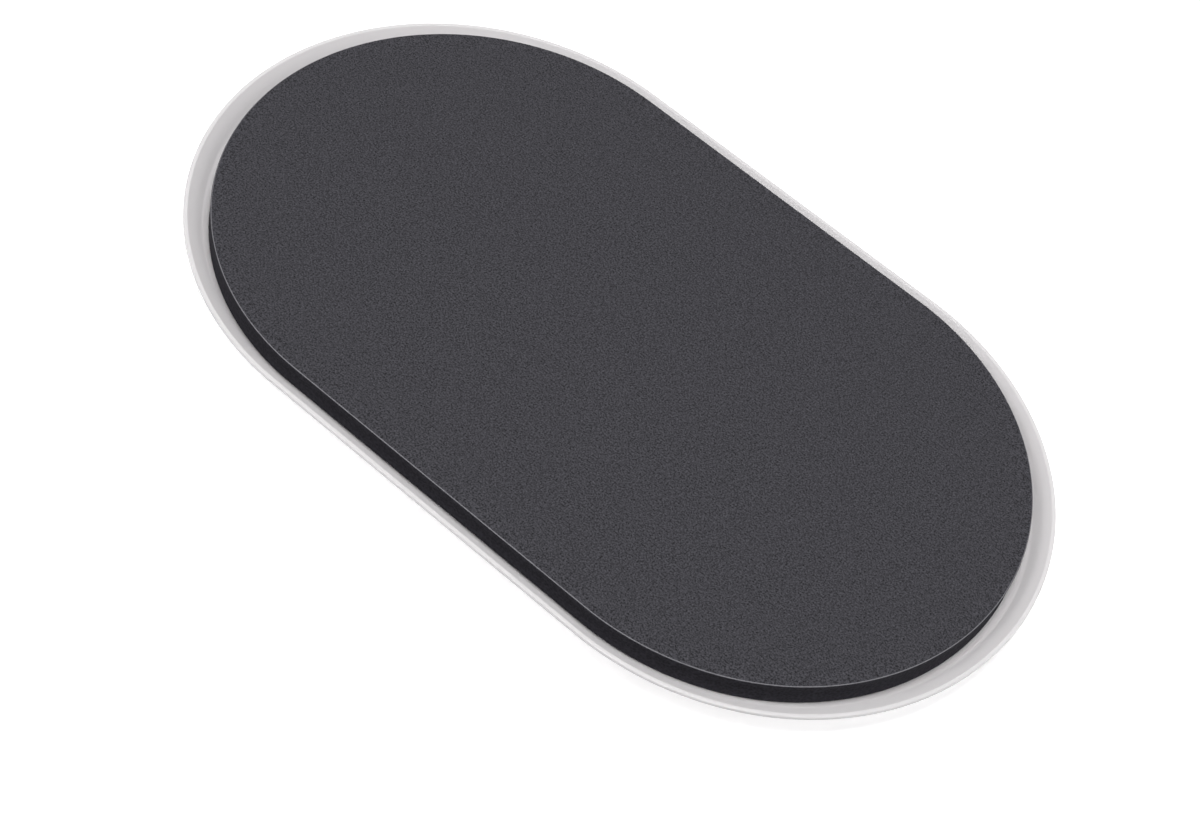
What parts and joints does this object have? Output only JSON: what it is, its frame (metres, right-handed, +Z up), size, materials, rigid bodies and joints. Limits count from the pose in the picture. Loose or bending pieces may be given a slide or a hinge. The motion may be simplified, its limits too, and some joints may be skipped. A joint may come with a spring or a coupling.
{
  "type": "furniture slider",
  "caption": "Long rounded furniture slider for carpet: a shallow glossy plastic tray with a ski-shaped edge and a thick foam pad bonded inside it.",
  "frame": {"origin": "middle of the flat sole, on the surface that the slider lies on", "axes": "+X along the slider, +Y across it, +Z up out of the foam pad"},
  "size_m": [0.2412, 0.146, 0.0096],
  "materials": {
    "shell_plastic": "gloss off-white moulding",
    "adhesive": "pale double-sided adhesive sheet",
    "pad_foam": "matte charcoal closed-cell foam"
  },
  "bodies": {
    "root": {"slider_shell": "shell_plastic", "adhesive_sheet": "adhesive", "foam_pad": "pad_foam"}
  },
  "joints": []
}
